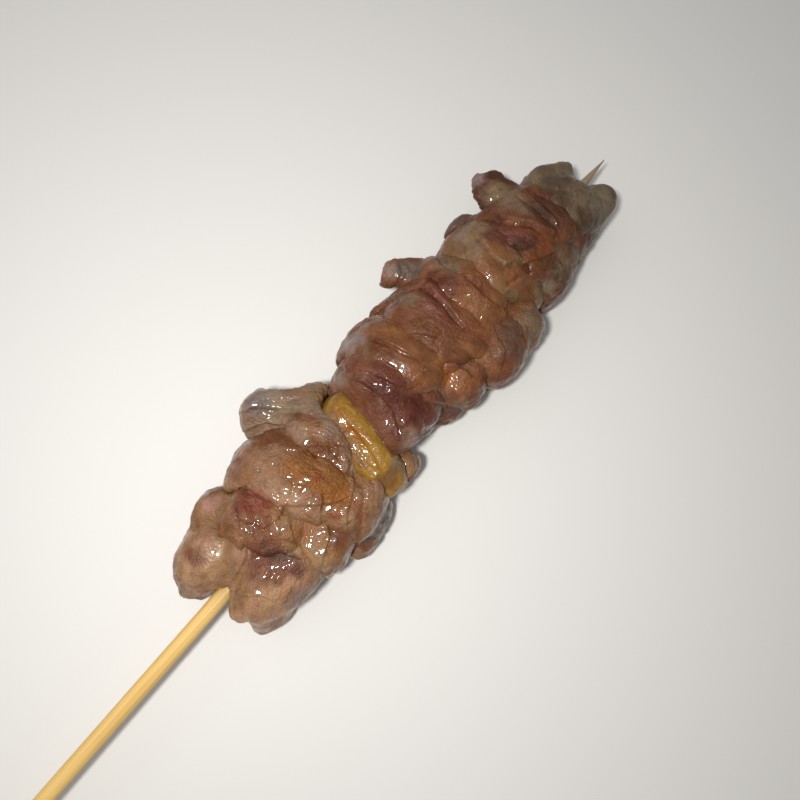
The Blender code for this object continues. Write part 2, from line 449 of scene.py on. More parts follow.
# Pale fat, also used as a painted highlight
FAT_AND_SHINE = meat(170, 140, 106)
COPPER = meat(131, 84, 53)
ROSE_BROWN = meat(118, 82, 68)
ORANGE_BROWN = meat(140, 96, 61)
SMOKE = meat(96, 72, 60)
UMBER = meat(88, 70, 56)
DIM_SLATE = meat(94, 77, 77)
DARK_AMBER = meat(108, 60, 22)
DARK_COPPER = meat(104, 64, 36)
BLACK_RED = meat(74, 40, 22)
PALE_OLIVE = meat(132, 110, 88)
DARK_OLIVE = meat(108, 92, 76)
PALE_GREY = meat(146, 127, 120)


@dataclass
class Meat:
    """How one slice is made and cooked.

    fibres are turned from the stick, in degrees. wrinkle is how deep the wrinkles are.
    oily is from 0 to 1.
    """

    ground: tuple
    second: tuple
    fibres: float
    wrinkle: float = 1.0
    oily: float = 1.0


MEATS = {
    "meat_01": Meat(TAN, LIGHT_BROWN, 30, 0.7),
    "meat_02": Meat(LIGHT_BROWN, BROWN, 60, 1.1),
    "meat_03": Meat(ROSE_TAN, BROWN, 100, 0.6),
    "meat_04": Meat(GREY_BROWN, LIGHT_BROWN, 125, 0.9),
    "meat_05": Meat(LIGHT_BROWN, BROWN, 80, 1.0),
    "meat_06": Meat(RED_BROWN, MAROON, 70, 0.8, 0.8),
    "meat_07": Meat(RED_BROWN, COPPER, 105, 0.7, 0.8),
    "meat_08": Meat(RED_BROWN, BROWN, 110, 0.9, 0.7),
    "meat_09": Meat(COPPER, RED_BROWN, 115, 0.9, 0.75),
    "meat_10": Meat(OLIVE, COPPER, 100, 0.7, 0.6),
    "meat_11": Meat(RED_BROWN, DARK_BROWN, 95, 1.0, 0.55),
    "meat_12": Meat(DARK_BROWN, RED_BROWN, 85, 0.8, 0.45),
    "meat_13": Meat(OLIVE_GREY, UMBER, 60, 0.8, 0.45),
}


# %% Folds seen in the picture
@dataclass
class Fold:
    """An edge of meat that lies over its neighbour, along pixels of the picture.

    The raised side is on the left of the route as it is drawn, and on the right where deep is below 0.
    wide and deep are in millimetres.
    """

    pixels: list
    wide: float
    deep: float


FOLDS = {
    "under the ball": Fold([(176, 576), (195, 579), (216, 584), (226, 592)], 1.0, 0.6),
    "round the ball": Fold([(203, 520), (226, 521), (243, 534), (250, 556), (240, 586)], 1.2, -1.0),
    "cut on the ball": Fold([(206, 530), (222, 526), (236, 530)], 0.5, 0.35),
    "right of the stick": Fold([(243, 592), (262, 593), (284, 601), (292, 590)], 1.2, 0.4),
    "above the char": Fold([(256, 548), (272, 556), (296, 564), (310, 560)], 1.2, -0.8),
    "under the red bulge": Fold([(244, 516), (262, 526), (276, 520), (284, 506)], 1.2, 0.9),
    "left of the red bulge": Fold([(240, 520), (240, 500), (252, 488)], 1.1, -0.6),
    "down the middle": Fold([(276, 488), (284, 508), (290, 528), (300, 548)], 1.0, -0.3),
    "left of the red knobs": Fold([(322, 500), (324, 520), (330, 534), (326, 552)], 1.0, -0.7),
    "between the red knobs": Fold([(322, 528), (336, 530), (350, 524)], 0.8, 0.5),
    "above the fat": Fold([(288, 540), (306, 545), (318, 560)], 0.9, 0.4),
    "lower edge of the third slice": Fold(
        [(232, 482), (258, 487), (280, 500), (310, 506), (340, 500)], 1.2, 0.65
    ),
    "behind the right strip": Fold([(346, 462), (353, 484), (350, 512), (350, 545)], 1.1, -0.5),
    "brown band of the third slice": Fold(
        [(296, 440), (330, 446), (356, 464), (372, 490), (374, 520)], 1.0, 0.7
    ),
    "middle of the right strip": Fold([(362, 478), (366, 502), (362, 532)], 0.9, 0.5),
    "upper left of the third slice": Fold([(262, 438), (290, 450), (322, 456)], 1.0, 0.4),
    "first strip of the grey slice": Fold([(250, 411), (280, 409), (305, 413), (324, 420)], 0.9, 0.9),
    "second strip of the grey slice": Fold([(258, 427), (284, 426), (312, 431), (334, 442)], 0.9, 0.8),
    "top strip of the grey slice": Fold([(268, 401), (296, 400), (326, 403)], 0.7, 0.5),
    "left end of the sixth slice": Fold([(352, 376), (376, 392), (392, 410), (400, 434)], 1.1, -0.7),
    "right end of the sixth slice": Fold([(396, 388), (420, 400), (448, 408)], 1.1, 0.6),
    "lower edge of the seventh slice": Fold(
        [(346, 366), (376, 374), (404, 386), (432, 388), (450, 398)], 1.1, 0.8
    ),
    "upper left of the seventh slice": Fold([(350, 352), (372, 360), (392, 368)], 0.9, 0.4),
    "above the shine": Fold([(372, 334), (396, 350), (420, 363), (444, 362)], 1.0, 0.8),
    "round the orange knob": Fold([(420, 372), (436, 362), (458, 364), (474, 378)], 0.9, -0.6),
    "under the orange knob": Fold([(424, 374), (440, 388), (462, 392)], 0.9, 0.6),
    "lower edge of the eighth slice": Fold(
        [(384, 318), (414, 334), (440, 342), (470, 356), (490, 376)], 1.1, 0.7
    ),
    "right end of the eighth slice": Fold([(496, 336), (506, 352), (502, 372)], 1.1, -0.6),
    "lower edge of the red strip": Fold(
        [(414, 286), (430, 292), (446, 306), (462, 326), (490, 344)], 1.1, 1.2
    ),
    "upper edge of the red strip": Fold(
        [(424, 262), (440, 266), (462, 278), (482, 298), (506, 316)], 1.0, -0.9
    ),
    "rim of the thin flap": Fold([(379, 312), (392, 301), (408, 292), (424, 287)], 0.8, 1.2),
    "tip of the red strip": Fold([(384, 262), (389, 272), (386, 284)], 0.7, 0.5),
    "neck of the red strip": Fold([(397, 263), (402, 273), (398, 286)], 0.7, -0.4),
    "right end of the ninth slice": Fold([(500, 310), (516, 322), (524, 340)], 1.1, 0.6),
    "middle of the tenth slice": Fold([(460, 240), (468, 260), (484, 276), (502, 296)], 0.9, 0.4),
    "under the red hollow": Fold([(478, 240), (490, 252), (506, 264), (532, 262), (550, 252)], 1.1, 0.9),
    "top of the red hollow": Fold([(478, 220), (508, 222), (536, 230), (552, 240)], 1.1, 0.9),
    "in the red hollow": Fold([(505, 240), (524, 250), (544, 240)], 0.9, 0.4),
    "right of the shine": Fold([(512, 282), (530, 272), (556, 266)], 0.9, -0.5),
    "upper edge of the flap": Fold([(484, 176), (506, 186), (530, 196), (548, 214)], 0.9, -0.8),
    "lower edge of the flap": Fold([(484, 210), (504, 216), (530, 228)], 0.9, 0.7),
    "lower edge of the end block": Fold([(526, 192), (546, 200), (568, 212), (580, 226)], 1.0, 0.8),
    "across the end block": Fold([(540, 180), (556, 190), (578, 192)], 0.9, 0.4),
}


# %% Smooth swollen places that shine
@dataclass
class Swelling:
    """An almost smooth place, wide in millimetres, that stands high millimetres up."""

    pixels: list
    wide: float
    high: float


SWELLINGS = {
    "large shine": Swelling([(402, 352), (416, 362)], 5.0, 1.75),
    "soft shine": Swelling([(495, 288)], 3.4, 0.7),
    "ball": Swelling([(218, 562), (232, 552)], 4.2, 0.3),
    "grey knob": Swelling([(258, 397)], 2.4, 0.5),
    "second red knob": Swelling([(336, 541)], 2.0, 0.6),
    "first red knob": Swelling([(336, 513)], 2.0, 0.5),
    "pale fold": Swelling([(298, 500)], 1.6, 0.4),
}


# %% Stains seen in the picture
@dataclass
class Stain:
    """A patch of colour along pixels of the picture.

    wide is in millimetres. full is how strong it is, from 0 to 1.
    """

    pixels: list
    wide: float
    tone: tuple
    full: float = 0.9


STAINS = {
    "eye of the ball": Stain([(194, 557)], 3.2, RED_BROWN, 0.8),
    "middle of the eye": Stain([(190, 555)], 1.4, MAROON, 0.65),
    "speck on the ball": Stain([(205, 574)], 1.4, BROWN, 0.7),
    "cut on the ball": Stain([(206, 530), (221, 526)], 0.8, DARK_BROWN, 0.85),
    "top of the ball": Stain([(214, 536), (226, 534)], 3.0, LIGHT_BROWN, 0.8),
    "side of the ball": Stain([(178, 548), (178, 566), (182, 590)], 2.8, GREY_BROWN, 0.8),
    "foot of the ball": Stain([(212, 587)], 2.2, BROWN, 0.7),
    "smooth side of the ball": Stain([(236, 560), (234, 545)], 3.4, ROSE_TAN, 0.6),
    "pink tip": Stain([(210, 504), (217, 500)], 2.2, PINK),
    "grey side of the pink tip": Stain([(196, 508)], 2.2, GREY_BROWN, 0.8),
    "behind the pink tip": Stain([(226, 488), (232, 506), (222, 514)], 2.8, LIGHT_BROWN, 0.9),
    "red bulge": Stain([(248, 508), (262, 498)], 4.6, DARK_RED),
    "under the red bulge": Stain([(256, 524), (268, 540), (262, 558)], 3.4, RED_BROWN, 0.95),
    "under the char": Stain([(262, 572), (280, 572)], 3.8, RED_BROWN, 0.95),
    "round the char": Stain([(262, 548), (284, 562), (298, 568)], 3.0, MAROON, 0.7),
    "char": Stain([(270, 552), (284, 557), (296, 560)], 1.9, CHAR, 0.55),
    "edge of the char": Stain([(294, 570), (300, 574)], 1.6, DARK_BROWN, 0.6),
    "lower right lobe": Stain([(260, 606), (272, 616)], 4.6, TAN),
    "tip of the lower right lobe": Stain([(252, 615)], 2.2, FAT_AND_SHINE, 0.8),
    "foot of the lower right lobe": Stain([(272, 627)], 2.2, ROSE_TAN, 0.7),
    "middle of the second slice": Stain([(292, 524), (312, 536)], 4.4, LIGHT_BROWN, 0.8),
    "yellow of the second slice": Stain([(296, 532), (304, 534)], 2.8, AMBER, 0.45),
    "fat of the second slice": Stain([(312, 556), (322, 562)], 3.2, SAND, 0.9),
    "first red knob": Stain([(337, 513)], 2.2, DARK_RED, 0.9),
    "second red knob": Stain([(334, 543), (340, 538)], 2.0, MAROON, 0.85),
    "right side of the first slice": Stain([(296, 600), (320, 578)], 3.0, PALE_GREY, 0.85),
    "left of the third slice": Stain([(244, 462), (264, 466)], 5.6, LIGHT_BROWN, 0.7),
    "edge of the third slice": Stain([(240, 450), (236, 466)], 1.6, PINK, 0.5),
    "amber of the third slice": Stain([(298, 472), (322, 476), (338, 494)], 5.0, AMBER, 0.98),
    "first rust spot": Stain([(317, 477)], 1.5, RUST, 0.9),
    "second rust spot": Stain([(337, 474)], 1.6, RUST, 0.8),
    "brown band of the third slice": Stain(
        [(266, 440), (300, 445), (334, 452), (354, 466)], 4.0, DEEP_BROWN, 0.9
    ),
    "right strip": Stain([(358, 486), (362, 510), (358, 534)], 2.4, COPPER, 0.8),
    "pale line of the right strip": Stain([(378, 500), (378, 514), (370, 528)], 0.8, FAT_AND_SHINE, 0.7),
    "dark flap": Stain([(372, 534), (382, 520)], 3.2, DIM_SLATE, 0.98),
    "end of the dark flap": Stain([(384, 500), (386, 520)], 2.6, SLATE, 0.9),
    "grey tip": Stain([(256, 399), (264, 400)], 3.2, DIM_GREY, 0.95),
    "grey strips": Stain([(284, 404), (310, 410)], 4.0, GREY_BROWN, 0.7),
    "rose strip": Stain([(296, 420), (316, 425)], 2.6, BROWN, 0.85),
    "foot of the grey slice": Stain([(262, 427), (280, 428), (300, 432)], 2.6, PALE_GREY_BROWN, 0.95),
    "end of the grey slice": Stain([(318, 393)], 2.8, OLIVE, 0.8),
    "beside the pepper": Stain([(320, 404), (336, 424), (350, 444)], 2.0, BROWN, 0.6),
    "lobe below the pepper": Stain([(404, 466)], 3.6, TAN, 0.95),
    "foot of that lobe": Stain([(406, 482)], 2.4, MAROON, 0.6),
    "grey beside the pepper": Stain([(409, 438)], 3.2, GREY_BROWN, 0.9),
    "left end of the sixth slice": Stain([(342, 380)], 3.4, GREY_BROWN, 0.8),
    "violet of the sixth slice": Stain([(396, 386), (382, 386)], 3.6, DEEP_MAROON, 0.9),
    "red of the sixth slice": Stain([(400, 410), (418, 406)], 4.2, DEEP_MAROON, 0.8),
    "foot of the sixth slice": Stain([(388, 418), (398, 436)], 2.6, MAROON, 0.7),
    "tip of the sixth slice": Stain([(454, 406)], 3.0, SLATE, 0.7),
    "rose of the sixth slice": Stain([(440, 395)], 2.8, ROSE_BROWN, 0.9),
    "below the left end of the seventh slice": Stain([(358, 353), (372, 352)], 2.6, OLIVE, 0.6),
    # Painted sheen: a pale haze of reflected light on this end
    "left end of the seventh slice": Stain([(348, 345), (356, 342)], 3.4, SHEEN_HAZE, 0.95),
    "orange streak": Stain([(392, 334), (402, 343), (416, 354)], 2.4, ORANGE_BROWN, 0.85),
    "brown of the seventh slice": Stain([(378, 348), (392, 354)], 2.9, DEEP_RED_BROWN, 0.98),
    "rust beside the orange knob": Stain([(420, 366), (436, 364)], 2.6, ORANGE_BROWN, 0.8),
    "orange knob": Stain([(444, 368), (452, 378)], 3.2, ORANGE, 0.95),
    "right of the orange knob": Stain([(464, 384), (474, 388)], 2.8, COPPER, 0.8),
    "pale foot of the orange knob": Stain([(452, 395), (462, 396)], 2.0, SAND, 0.8),
    "amber of the eighth slice": Stain([(386, 322), (394, 318)], 2.4, AMBER, 0.6),
    "dark of the eighth slice": Stain([(424, 322), (434, 330)], 2.8, DEEP_RED_BROWN, 0.7),
    "grey edge of the eighth slice": Stain([(396, 296), (410, 300)], 2.6, OLIVE_GREY, 0.7),
    "thin flap": Stain([(378, 306), (392, 297)], 1.6, SLATE, 0.9),
    "red of the eighth slice": Stain([(436, 300), (444, 314)], 3.6, MAROON, 0.7),
    "brown of the eighth slice": Stain([(470, 348), (488, 356)], 3.4, ORANGE_BROWN, 0.65),
    "dark end of the eighth slice": Stain([(508, 330), (511, 348)], 3.8, SMOKE, 0.9),
    "violet end of the eighth slice": Stain([(506, 360)], 3.0, MAROON, 0.4),
    "olive end of the eighth slice": Stain([(534, 332), (528, 318)], 3.8, OLIVE_GREY, 0.85),
    "tip of the red strip": Stain([(384, 276), (392, 270)], 3.0, PALE_GREY, 0.85),
    "grey of the red strip": Stain([(402, 269), (420, 272)], 3.0, SLATE, 0.85),
    "grey top of the red strip": Stain([(438, 264), (452, 270)], 2.6, OLIVE_GREY, 0.7),
    "red of the red strip": Stain([(434, 280), (456, 290)], 3.0, DEEP_MAROON, 0.9),
    "copper of the red strip": Stain([(464, 298), (486, 328)], 3.6, COPPER, 0.9),
    "left of the tenth slice": Stain([(458, 246), (468, 260)], 4.0, OLIVE, 0.8),
    "pale strip of the tenth slice": Stain([(458, 236), (474, 246)], 1.6, GREY_BROWN, 0.9),
    # Painted highlight: a pale patch where the tenth slice shines
    "shine of the tenth slice": Stain([(494, 290)], 2.4, FAT_AND_SHINE, 0.4),
    "copper of the tenth slice": Stain([(484, 264), (512, 278)], 3.0, COPPER, 0.9),
    "corner of the eleventh slice": Stain([(450, 227), (462, 220)], 2.4, SLATE, 0.8),
    "top of the eleventh slice": Stain([(478, 216), (500, 222)], 2.0, DARK_BROWN, 0.8),
    "middle of the eleventh slice": Stain([(524, 252), (532, 256)], 2.8, DARK_AMBER, 0.9),
    "red hollow": Stain([(496, 236), (522, 240)], 4.2, MAROON, 0.85),
    "deepest of the red hollow": Stain([(518, 246), (530, 242)], 2.8, BLACK_RED, 0.9),
    "under the red hollow": Stain([(494, 250), (508, 256)], 2.2, COPPER, 0.8),
    "pink right of the hollow": Stain([(544, 240), (546, 252)], 2.6, RUST, 0.6),
    "brown right of the hollow": Stain([(562, 242)], 3.0, BROWN, 0.5),
    "right foot of the tenth slice": Stain([(530, 268), (546, 262)], 3.2, DARK_COPPER, 0.95),
    "right side of the eleventh slice": Stain([(562, 264), (576, 256)], 3.8, DARK_OLIVE, 0.9),
    # Olive tone with painted sheen
    "right foot of the eleventh slice": Stain([(545, 285)], 3.8, SHEEN_HAZE_OLIVE, 0.95),
    "right side of the tenth slice": Stain([(528, 296), (514, 302)], 3.0, DARK_COPPER, 0.7),
    "flap": Stain([(494, 192), (510, 202), (522, 211)], 4.0, PALE_OLIVE, 0.9),
    # Painted sheen: a pale haze of reflected light on the flap's tip
    "tip of the flap": Stain([(479, 179)], 3.0, SHEEN_HAZE, 0.95),
    "upper edge of the flap": Stain([(492, 176), (506, 181), (520, 188)], 1.3, DARK_BROWN, 0.9),
    "dark beside the flap": Stain([(536, 208), (550, 220)], 4.2, DARK_BROWN, 0.9),
    "top of the end block": Stain([(540, 174), (566, 174)], 3.2, OLIVE_GREY, 0.7),
    "rose of the end block": Stain([(574, 182)], 2.2, RED_BROWN, 0.5),
    "dark foot of the end block": Stain([(540, 202), (556, 210)], 2.6, DARK_BROWN, 0.6),
    # Olive tone with painted sheen
    "right block": Stain([(602, 204), (592, 200)], 4.4, SHEEN_HAZE_OLIVE, 0.9),
}

print(len(FOLDS), "folds,", len(SWELLINGS), "swellings and", len(STAINS), "stains")

# %% [markdown]
# ## Shaping and painting the slices
# Each point of a skin moves along its own direction by the sum of lumps, wrinkles, fibres and folds.
# It also moves along the stick, towards the next slice, so that the slices press together.
# Hollows are kept as an attribute, and the meat's colour is darkened there as painted shade.

# %% Shape one slice
ALONG_STICK = np.array([1.0, 0.0, 0.0])
LUMP = 6.0 * MM
LUMP_STRETCH = 1.5
CREASE = 3.4 * MM
CREASE_STRETCH = 2.2
SMALL_CREASE = 0.42
FIBRE = (7.0 * MM, 1.0 * MM, 1.0 * MM)
THREAD = (3.0 * MM, 0.5 * MM, 0.5 * MM)
PEBBLE = 1.2 * MM
GRIT = 0.7 * MM
BLISTERED = 5 * MM
PRESS = 1.5 * MM
PRESS_UNEVEN, PRESS_SIZE = 0.9, 3.5 * MM
SWELL = 0.4
# Fibres and folds bend, by as many millimetres and over lumps of this size
BEND_SIZE = 8 * MM
FIBRE_BEND = 2.0
FOLD_BEND = 1.2
# A fold's depth changes along it
WOBBLE, WOBBLE_SIZE = 0.4, 3 * MM
# How far marks reach, in their own widths
FOLD_REACH = 5
SWELLING_REACH = 3
# How high each kind of relief stands, in millimetres
LUMP_RISE = 0.34
CREASE_RISE = 0.22
SMALL_CREASE_RISE = 0.10
FIBRE_RISE = 0.13
THREAD_RISE = 0.05
PEBBLE_RISE = 0.13
GRIT_RISE = 0.12
# An overlapping edge 1 mm deep: how high its lip and step are, and how wide for the fold's width
LIP_RISE, LIP_WIDTH = 0.60, 2.4
STEP_RISE, STEP_WIDTH = -0.62, 1.3
STEP_SOFTNESS = 0.55 * MM
# A crease runs where its noise is near 0, and ends where the noise reaches these
CREASE_CUT = 0.4
SMALL_CREASE_CUT = 0.35
CALM_FLATTENS = 0.85
# A level place counts as this hollow, less these shares of its relief and of its folds. Hollows get painted
# shade.
HOLLOW_SHADE_LEVEL = 0.42
HOLLOW_SHADE_RELIEF = 0.6
HOLLOW_SHADE_FOLDS = 0.35


def along_fibres(points, turn):
    """The points turned so that a slice's fibres run along X."""
    spin = np.array(Matrix.Rotation(-radians(turn), 3, "Z"))
    return points @ spin.T


def soft_step(value, low, high):
    share = np.clip((value - low) / (high - low), 0, 1)
    return share * share * (3 - 2 * share)


def edge_profile(far, side, wide):
    """Height across an overlapping edge: a raised lip on one side, a shaded step on the other."""
    lip = LIP_RISE * np.exp(-((far / (LIP_WIDTH * wide)) ** 2))
    step = STEP_RISE * np.exp(-((far / (STEP_WIDTH * wide)) ** 2))
    share = soft_step(far * side, -STEP_SOFTNESS, STEP_SOFTNESS)
    return lip * share + step * (1 - share)


def set_values(piece, name, values):
    piece.data.attributes.new(name, "FLOAT", "POINT").data.foreach_set("value", values)


def shape_slice(name, skin, seed):
    kind = MEATS[name]
    points = points_of(skin)
    directions = directions_of(skin)
    bend = np.stack([noise_at(points, BEND_SIZE, seed + way) for way in (1, 2, 3)], axis=1)
    loose = along_fibres(points + bend * FIBRE_BEND * MM, kind.fibres)
    lumps = noise_at(loose, (LUMP * LUMP_STRETCH, LUMP, LUMP), seed)
    creases = np.abs(noise_at(loose, (CREASE * CREASE_STRETCH, CREASE, CREASE), seed + 4))
    creases = np.minimum(creases, CREASE_CUT) / CREASE_CUT
    small = np.abs(noise_at(loose, (CREASE, CREASE * SMALL_CREASE, CREASE * SMALL_CREASE), seed + 5))
    small = np.minimum(small, SMALL_CREASE_CUT) / SMALL_CREASE_CUT
    fibres = noise_at(loose, FIBRE, seed + 6)
    threads = noise_at(loose, THREAD, seed + 7)
    pebbles = noise_at(loose, PEBBLE, seed + 9)
    blistered = soft_step(noise_at(points, BLISTERED, seed + 10), -0.25, 0.35)
    grit = noise_at(loose, GRIT, seed + 15) * blistered
    wrinkles = CREASE_RISE * (creases - 0.8) + SMALL_CREASE_RISE * (small - 0.8)
    rise = LUMP_RISE * lumps + kind.wrinkle * wrinkles
    rise += FIBRE_RISE * fibres + THREAD_RISE * threads + PEBBLE_RISE * pebbles + GRIT_RISE * grit
    folds = np.zeros(len(points))
    wobble = 1 + WOBBLE * noise_at(points, WOBBLE_SIZE, seed + 8)
    bent = points + bend * FOLD_BEND * MM
    for fold, route in fold_routes:
        near = near_route(bent, route, fold.wide * FOLD_REACH * MM)
        if near.any():
            far, side = distance_to(bent[near], route)
            height = edge_profile(far, side * np.sign(fold.deep), fold.wide * MM)
            folds[near] += abs(fold.deep) * wobble[near] * height
    calm = np.zeros(len(points))
    dome = np.zeros(len(points))
    for swelling, route in swelling_routes:
        near = near_route(points, route, swelling.wide * SWELLING_REACH * MM)
        if near.any():
            share = np.exp(-((distance_to(points[near], route)[0] / (swelling.wide * MM)) ** 2))
            calm[near] = np.maximum(calm[near], share)
            dome[near] += swelling.high * share
    rise = rise * (1 - CALM_FLATTENS * calm) + dome + SWELL
    uneven = PRESS * (1 + PRESS_UNEVEN * noise_at(points, PRESS_SIZE, seed + 16))
    pressed = directions * ALONG_STICK * uneven[:, None]
    move_points(skin, points + pressed + directions * ((rise + folds) * MM)[:, None])
    # How hollow each point is, for the painted shade in hollows
    raised = (rise - SWELL) * HOLLOW_SHADE_RELIEF + folds * HOLLOW_SHADE_FOLDS
    set_values(skin, "hollow", np.clip(HOLLOW_SHADE_LEVEL - raised, 0, 1))
    set_values(skin, "calm", calm)
    skin.data.shade_smooth()
    return skin


fold_routes = [(fold, [seen(*pixel) for pixel in fold.pixels]) for fold in FOLDS.values()]
swelling_routes = [(swelling, [seen(*pixel) for pixel in swelling.pixels]) for swelling in SWELLINGS.values()]
stain_routes = [(stain, [seen(*pixel) for pixel in stain.pixels]) for stain in STAINS.values()]
for seed, (name, skin) in enumerate(skins.items()):
    shape_slice(name, skin, seed * 10)
print("shaped", len(skins), "slices")


# %% Paint one slice
SIDE_TONE = GREY_BROWN
# A stain ends a little beyond its width, and fades over this share of the width before that
STAIN_REACH = 1.25
STAIN_FADE = 0.9
STAIN_BOX = 1.8
CLOUD, SMALL_CLOUD = (9 * MM, 5 * MM, 5 * MM), 2.4 * MM
EDGE, SMALL_EDGE = 2.6 * MM, 1.1 * MM
ROUGH_EDGE = 0.32
# The paint changes a little in warmth and in brightness from place to place
WARMTH, SMALL_WARMTH = 0.07, 0.03
WARMTH_SIZE, SMALL_WARMTH_SIZE = 3.6 * MM, 1.4 * MM
SHADE, SHADE_SIZE = 0.19, (4 * MM, 1.8 * MM, 1.8 * MM)


def blend_colour(ground, top, share):
    return ground * (1 - share[:, None]) + np.asarray(top) * share[:, None]


def stained(paint, points, route, stain, rough):
    """The paint with one stain on it. rough moves the stain's edge in and out from point to point."""
    far = distance_to(points, route)[0] / (stain.wide * MM)
    return blend_colour(paint, stain.tone, soft_step(STAIN_REACH - far + rough, 0, STAIN_FADE) * stain.full)


def set_cooked(piece, paint):
    layer = piece.data.color_attributes.new("cooked", "FLOAT_COLOR", "POINT")
    layer.data.foreach_set("color", np.column_stack([paint, np.ones(len(paint))]).ravel())


def paint_slice(name, skin, seed):
    kind = MEATS[name]
    points = points_of(skin)
    loose = along_fibres(points, kind.fibres)
    cloud = noise_at(loose, CLOUD, seed + 11) + 0.5 * noise_at(loose, SMALL_CLOUD, seed + 12)
    paint = blend_colour(np.tile(kind.ground, (len(points), 1)), kind.second, soft_step(cloud, -0.35, 0.75))
    sideways = soft_step(1 - directions_of(skin)[:, 2], 0.35, 1.1)
    paint = blend_colour(paint, SIDE_TONE, sideways * (0.55 + 0.3 * cloud))
    edge = noise_at(points, EDGE, seed + 13) + 0.6 * noise_at(points, SMALL_EDGE, seed + 14)
    for stain, route in stain_routes:
        near = near_route(points, route, stain.wide * STAIN_BOX * MM)
        if near.any():
            paint[near] = stained(paint[near], points[near], route, stain, ROUGH_EDGE * edge[near])
    warm = WARMTH * noise_at(loose, WARMTH_SIZE, seed + 17)
    warm = warm + SMALL_WARMTH * noise_at(loose, SMALL_WARMTH_SIZE, seed + 18)
    shade = 1 + SHADE * noise_at(loose, SHADE_SIZE, seed + 19)
    set_cooked(skin, paint * np.column_stack([shade, shade * (1 + warm), shade * (1 - 0.3 * warm)]))


for seed, (name, skin) in enumerate(skins.items()):
    paint_slice(name, skin, seed * 10)
print("painted", len(skins), "slices")

# %% [markdown]
# ## Cooked meat
# Meat lets a little light in, and hot fat lies on it in a thin film. So the shader has some light
# passing through, a gloss that changes from place to place, and a bump fine enough to break the
# lamp's reflection into sparks.


# %% Meat material
# Darker paint for the random mottle and for the painted shade in hollows
MOTTLE_AND_SHADE_TINT = (0.54, 0.44, 0.40, 1)
LIGHT_TINT = (1.30, 1.25, 1.18, 1)


def meat_material(name, kind):
    recipe = Recipe(name)
    turn = (0, 0, radians(kind.fibres))
    calm = recipe.painted("calm", "Fac")
    hollow = recipe.painted("hollow", "Fac")
    cooked = recipe.painted("cooked")
    streak = recipe.noise((5.0 * MM, 0.5 * MM, 0.5 * MM), turn, 3.0, 0.6)
    mottle = recipe.noise((1.5 * MM,) * 3, turn, 4.0, 0.65)
    drops = recipe.noise((0.55 * MM,) * 3, turn, 1.5, 0.5)
    dark = recipe.mix(1.0, cooked, MOTTLE_AND_SHADE_TINT, "MULTIPLY")
    light = recipe.mix(1.0, cooked, LIGHT_TINT, "MULTIPLY")
    base = recipe.mix(streak.between(0.40, 0.66) * 0.32, cooked, light)
    base = recipe.mix(mottle.between(0.5, 0.7) * 0.5, base, dark)
    # Painted shade: the colour is darkened in hollows, where shade falls
    base = recipe.mix(hollow.between(0.40, 0.95) * 0.85, base, dark)
    wet = recipe.noise((4 * MM,) * 3, turn, 2.0, 0.5).between(0.38, 0.60)
    grain = streak * 0.3 + mottle * 0.35 + drops * (0.3 + 0.8 * kind.oily)
    return recipe.shade(
        Base_Color=base,
        Roughness=0.46 - wet * 0.12 - calm * 0.18,
        Specular_IOR_Level=0.12 + 0.16 * kind.oily,
        Normal=recipe.bump(grain * (1 - calm * 0.75), 0.38 * MM),
        IOR=1.45,
        Coat_Weight=(0.12 + wet * 0.60 + calm * 0.28) * kind.oily,
        Coat_Roughness=0.06,
        Coat_IOR=1.5,
        Subsurface_Weight=0.12,
        Subsurface_Radius=(1.0, 0.35, 0.2),
        Subsurface_Scale=1.2 * MM,
    )


for name, skin in skins.items():
    skin.data.materials.clear()
    skin.data.materials.append(meat_material("cooked_" + name, MEATS[name]))
    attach(skin, "root")
    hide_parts(name)
print("meat has", sum(len(skin.data.polygons) for skin in skins.values()), "faces")

# %% [markdown]
# ## Yellow pepper
# The pepper is a curved piece of wall, grilled until it is soft. Its skin is waxy, so it gets low
# lumps and blisters, and orange and brown patches where it was hottest.

# %% Pepper
PEPPER_TINT = (0.82, 0.66, 0.45, 1)
PEPPER_PRESS = 0.5 * MM
PEPPER_ROUGH_EDGE = 0.3
PEPPER_AWAY = 160 * MM
PEPPER_VOXEL = 1.0 * MM
PEPPER_SMOOTHING = 4
PEPPER_YELLOW = meat(157, 118, 44)
PEPPER_PALE = meat(164, 127, 60)
PEPPER_ORANGE = meat(146, 88, 14)
PEPPER_BROWN = meat(126, 84, 44)
PEPPER_STAINS = {
    "orange spot": Stain([(350, 432), (358, 438)], 2.6, PEPPER_ORANGE, 0.9),
    "blistered top": Stain([(338, 408), (344, 416)], 2.6, PEPPER_ORANGE, 0.35),
    "pale band": Stain([(352, 404), (366, 424), (392, 450)], 1.8, PEPPER_PALE, 0.3),
    "brown left edge": Stain([(330, 410), (344, 440), (362, 464)], 1.6, PEPPER_BROWN, 0.75),
    "brown right end": Stain([(402, 452), (404, 470)], 2.2, PEPPER_BROWN, 0.6),
    "brown top end": Stain([(336, 396)], 2.0, PEPPER_BROWN, 0.6),
    "foot": Stain([(386, 484), (392, 474)], 2.6, PEPPER_BROWN, 0.75),
}
PEPPER_GROOVES = {
    "along the middle": Fold([(340, 412), (356, 432), (374, 456), (384, 474)], 1.2, 0.35),
    "near its left edge": Fold([(332, 420), (348, 446), (366, 468)], 0.9, -0.3),
}


pepper_tree = BVHTree.FromPolygons(
    [vert.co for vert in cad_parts["pepper"].data.vertices],
    [face.vertices[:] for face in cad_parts["pepper"].data.polygons],
)


def pepper_seen(across, down):
    """The place on the pepper's solid at that pixel, or the nearest one to where the pepper would be."""
    ray = picture_ray(across, down)
    hit = pepper_tree.ray_cast(CAMERA_PLACE, ray)[0]
    return hit if hit is not None else pepper_tree.find_nearest(CAMERA_PLACE + ray * PEPPER_AWAY)[0]


